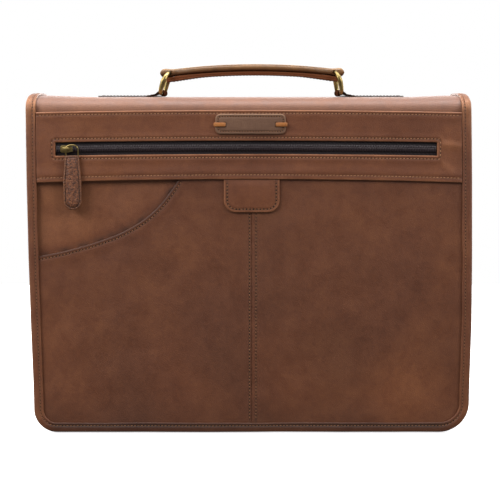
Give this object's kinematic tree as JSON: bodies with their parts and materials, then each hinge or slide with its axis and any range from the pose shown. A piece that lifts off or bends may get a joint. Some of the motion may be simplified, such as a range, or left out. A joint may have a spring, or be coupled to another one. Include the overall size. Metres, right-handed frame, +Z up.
{
  "type": "leather document case",
  "caption": "Soft leather document case: a full-length flap with a zipped band and slip pockets hangs over an open compartment, under a padded handle on brass rings.",
  "frame": {"origin": "middle of the whole case's base, on the surface it stands on", "axes": "+Z up, the flap faces -Y, +X along the case to the right of someone who looks at the flap"},
  "size_m": [0.4034, 0.1012, 0.337],
  "materials": {
    "pull_up_leather": "oiled pull-up cowhide, satin",
    "binding_leather": "folded cowhide binding, satin with worn edges",
    "body_leather": "plain oiled cowhide, satin",
    "handle_leather": "oiled cowhide, dark painted edges",
    "patch_leather": "embossing leather, matt",
    "lacing_leather": "tan lacing leather",
    "antique_brass": "antique brass plating, satin",
    "zip_tape_cloth": "woven polyester zip tape",
    "zip_coil": "nylon zip coil"
  },
  "bodies": {
    "root": {"cover": "pull_up_leather", "flap_binding": "binding_leather", "back_binding": "binding_leather", "front_wall": "body_leather", "front_wall_binding": "binding_leather", "gusset": "body_leather", "pocket_panel_left": "pull_up_leather", "pocket_panel_right": "pull_up_leather", "zip_band": "pull_up_leather", "zip_tape_upper": "zip_tape_cloth", "zip_tape_lower": "zip_tape_cloth", "zip_chain": "zip_coil", "zip_slider": "antique_brass", "zip_pull_ring": "antique_brass", "zip_pull": "handle_leather", "pocket_tab": "pull_up_leather", "name_patch": "patch_leather", "patch_lace_left": "lacing_leather", "patch_lace_right": "lacing_leather", "handle_grip": "handle_leather", "handle_underlay": "handle_leather", "handle_ring_left": "antique_brass", "handle_ring_right": "antique_brass", "handle_anchor_left": "handle_leather", "handle_anchor_right": "handle_leather"}
  },
  "joints": []
}
